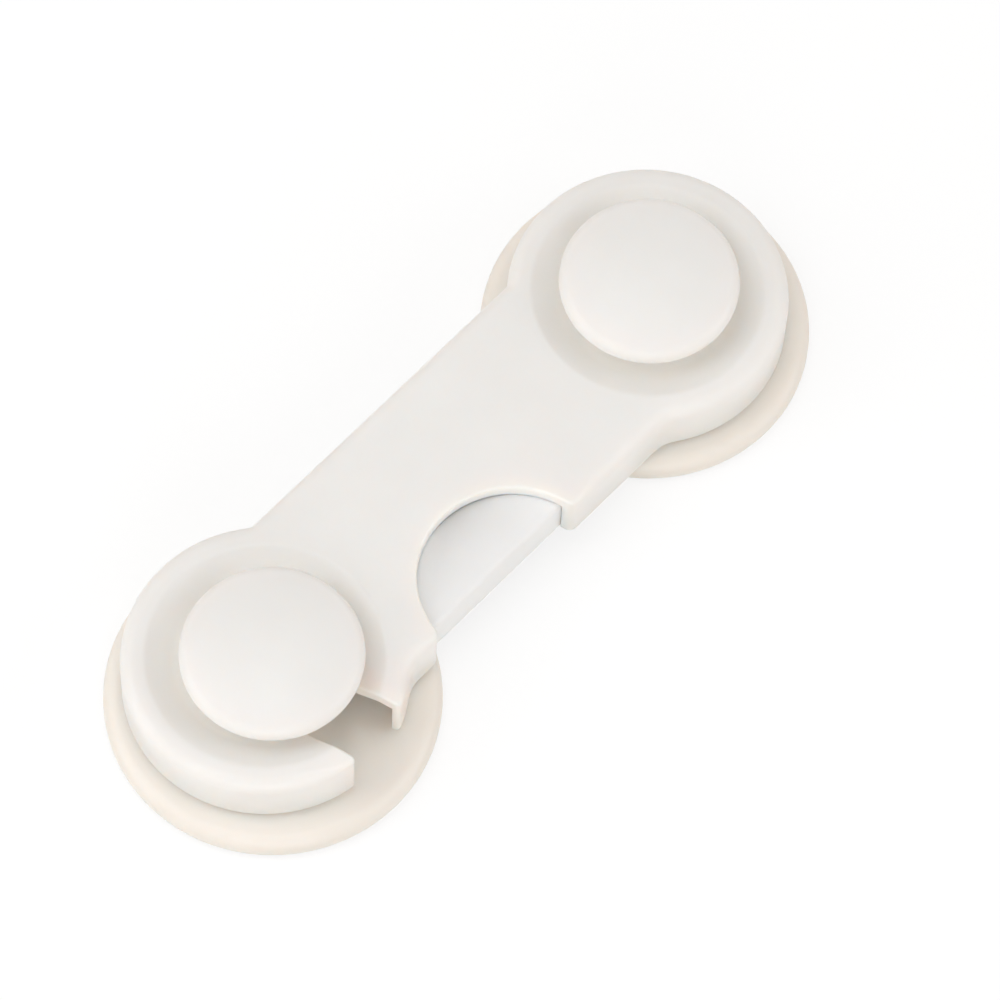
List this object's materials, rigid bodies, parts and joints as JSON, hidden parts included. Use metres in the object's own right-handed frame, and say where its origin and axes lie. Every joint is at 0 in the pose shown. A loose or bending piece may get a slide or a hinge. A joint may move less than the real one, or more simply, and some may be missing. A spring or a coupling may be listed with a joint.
{
  "type": "cabinet safety lock",
  "caption": "Stick-on child-safety cabinet lock: a rigid arm swings on one post, hooks over another and is freed by a press pad in its side.",
  "frame": {"origin": "midway between the axes of the two posts, on the plane of the adhesive faces", "axes": "+X from the latch post to the pivot post, +Z away from the cabinet, -Y towards the press pad and the slot's mouth"},
  "size_m": [0.1114, 0.042, 0.0173],
  "materials": {
    "ivory_plastic": "satin moulded",
    "foam_tape": "closed-cell foam",
    "screw_steel": "zinc plated",
    "spring_steel": "bright"
  },
  "bodies": {
    "posts": {"pivot_base": "ivory_plastic", "pivot_cap": "ivory_plastic", "pivot_screw": "screw_steel", "pivot_adhesive_pad": "foam_tape", "latch_base": "ivory_plastic", "latch_cap": "ivory_plastic", "latch_screw": "screw_steel", "latch_adhesive_pad": "foam_tape"},
    "arm": {"arm_cover": "ivory_plastic", "arm_back_plate": "ivory_plastic", "arm_screws": "screw_steel", "lever_pin": "spring_steel", "return_spring": "spring_steel"},
    "lever": {"release_lever": "ivory_plastic", "catch_leaf": "spring_steel"}
  },
  "joints": [
    {"name": "arm_swing", "type": "hinge", "parent": "posts", "child": "arm", "pos_m": [0.0347, 0, 0.007], "axis": [0, 0, -1], "range_deg": [-1, 340], "deforming": ["catch_leaf"]},
    {"name": "lever_press", "type": "hinge", "parent": "arm", "child": "lever", "pos_m": [-0.03303, 0.01048, 0.007], "axis": [0, 0, 1], "range_deg": [0, 8], "stiffness_Nm_per_rad": 0.6, "springref_deg": -8.02, "deforming": ["return_spring"]}
  ]
}
